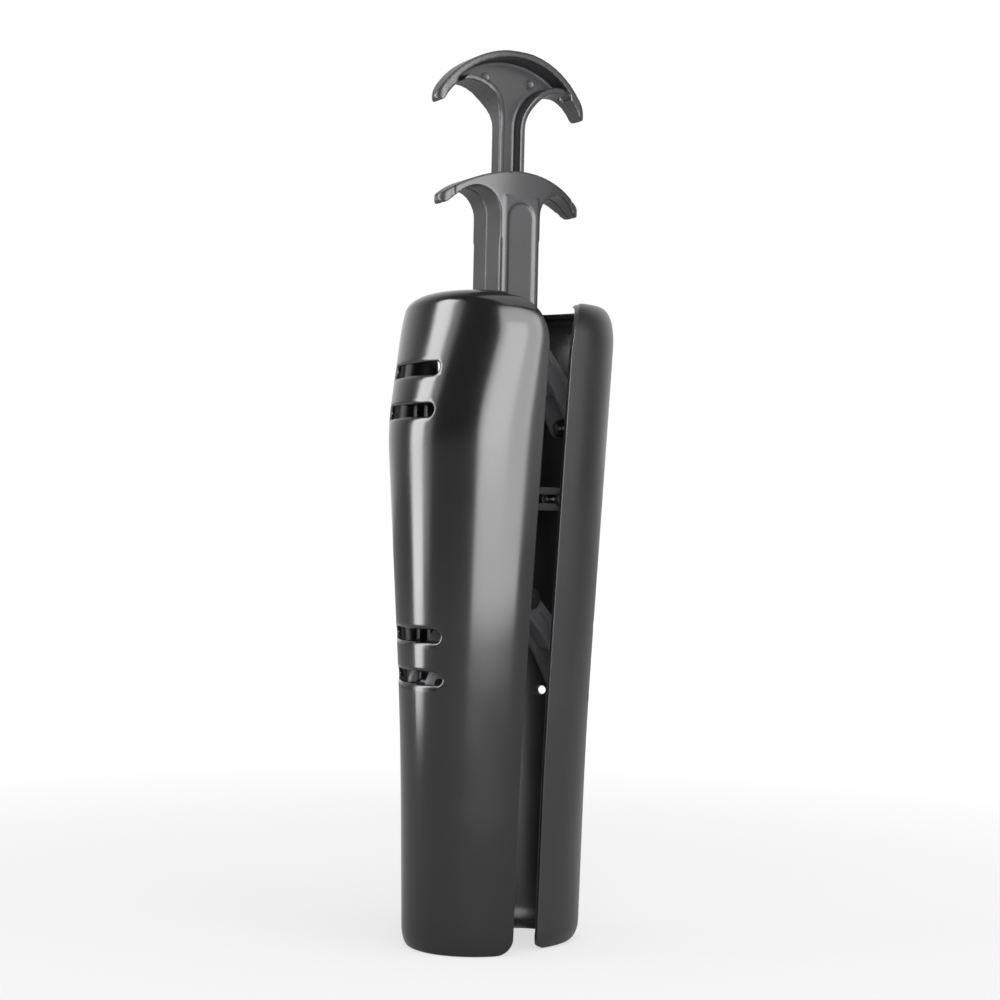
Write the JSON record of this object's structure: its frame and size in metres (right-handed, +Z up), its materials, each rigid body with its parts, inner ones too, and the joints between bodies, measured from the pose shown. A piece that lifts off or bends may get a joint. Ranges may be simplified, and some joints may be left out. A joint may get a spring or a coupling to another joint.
{
  "type": "boot shaper",
  "caption": "Expanding boot shaper: two slotted half shells on hinged arms round a grip column, drawn together by squeezing a sprung T handle.",
  "frame": {"origin": "middle of the bounding box on the surface that the shells stand on", "axes": "+Z up along the grip column, -X towards the toe, Y across the boot"},
  "size_m": [0.1047, 0.106, 0.416],
  "materials": {
    "shell_black": "gloss",
    "handle_black": "satin",
    "arm_grey": "satin",
    "steel": "satin",
    "acetal": "satin"
  },
  "bodies": {
    "column": {"grip_left": "handle_black", "grip_right": "handle_black", "column_screws": "steel", "rod_bush": "acetal", "upper_arm_pins": "steel", "lower_arm_pins": "steel", "column_pin_clips": "steel", "return_spring": "steel"},
    "plunger": {"upper_handle": "handle_black", "rod_cross_pin": "steel", "push_rod": "steel", "drive_bar": "arm_grey", "rod_washer": "steel", "rod_nut": "steel"},
    "front_upper_arm": {"front_upper_arm": "arm_grey"},
    "front_lower_arm": {"front_lower_arm": "arm_grey"},
    "rear_upper_arm": {"rear_upper_arm": "arm_grey"},
    "rear_lower_arm": {"rear_lower_arm": "arm_grey"},
    "front_shell": {"front_shell": "shell_black", "front_hinge_pins": "steel", "front_drive_pin": "steel", "front_pin_clips": "steel"},
    "rear_shell": {"rear_shell": "shell_black", "rear_hinge_pins": "steel", "rear_drive_pin": "steel", "rear_pin_clips": "steel"}
  },
  "joints": [
    {"name": "plunger_slide", "type": "slide", "parent": "column", "child": "plunger", "axis": [0, 0, -1], "range_m": [0, 0.0057], "stiffness_N_per_m": 1200, "springref_m": -0.01, "deforming": ["return_spring"]},
    {"name": "rear_upper_arm_hinge", "type": "hinge", "parent": "column", "child": "rear_upper_arm", "pos_m": [0.0098, 0, 0.281], "axis": [0, 1, 0], "range_deg": [0, 15.04]},
    {"name": "rear_lower_arm_hinge", "type": "hinge", "parent": "column", "child": "rear_lower_arm", "pos_m": [0.0098, 0, 0.161], "axis": [0, 1, 0], "range_deg": [0, 15.04]},
    {"name": "rear_shell_hinge", "type": "hinge", "parent": "rear_upper_arm", "child": "rear_shell", "pos_m": [0.037, 0, 0.2422], "axis": [0, -1, 0], "range_deg": [0, 15.04]},
    {"name": "front_upper_arm_hinge", "type": "hinge", "parent": "column", "child": "front_upper_arm", "pos_m": [-0.0098, 0, 0.281], "axis": [0, -1, 0], "range_deg": [0, 15.04]},
    {"name": "front_lower_arm_hinge", "type": "hinge", "parent": "column", "child": "front_lower_arm", "pos_m": [-0.0098, 0, 0.161], "axis": [0, -1, 0], "range_deg": [0, 15.04]},
    {"name": "front_shell_hinge", "type": "hinge", "parent": "front_upper_arm", "child": "front_shell", "pos_m": [-0.037, 0, 0.2422], "axis": [0, 1, 0], "range_deg": [0, 15.04]}
  ],
  "couplings": [
    {"joint": "rear_upper_arm_hinge", "follows": "plunger_slide", "rad_per_m": 45.818},
    {"joint": "rear_lower_arm_hinge", "follows": "plunger_slide", "rad_per_m": 45.818},
    {"joint": "rear_shell_hinge", "follows": "plunger_slide", "rad_per_m": 45.818},
    {"joint": "front_upper_arm_hinge", "follows": "plunger_slide", "rad_per_m": 45.818},
    {"joint": "front_lower_arm_hinge", "follows": "plunger_slide", "rad_per_m": 45.818},
    {"joint": "front_shell_hinge", "follows": "plunger_slide", "rad_per_m": 45.818}
  ]
}
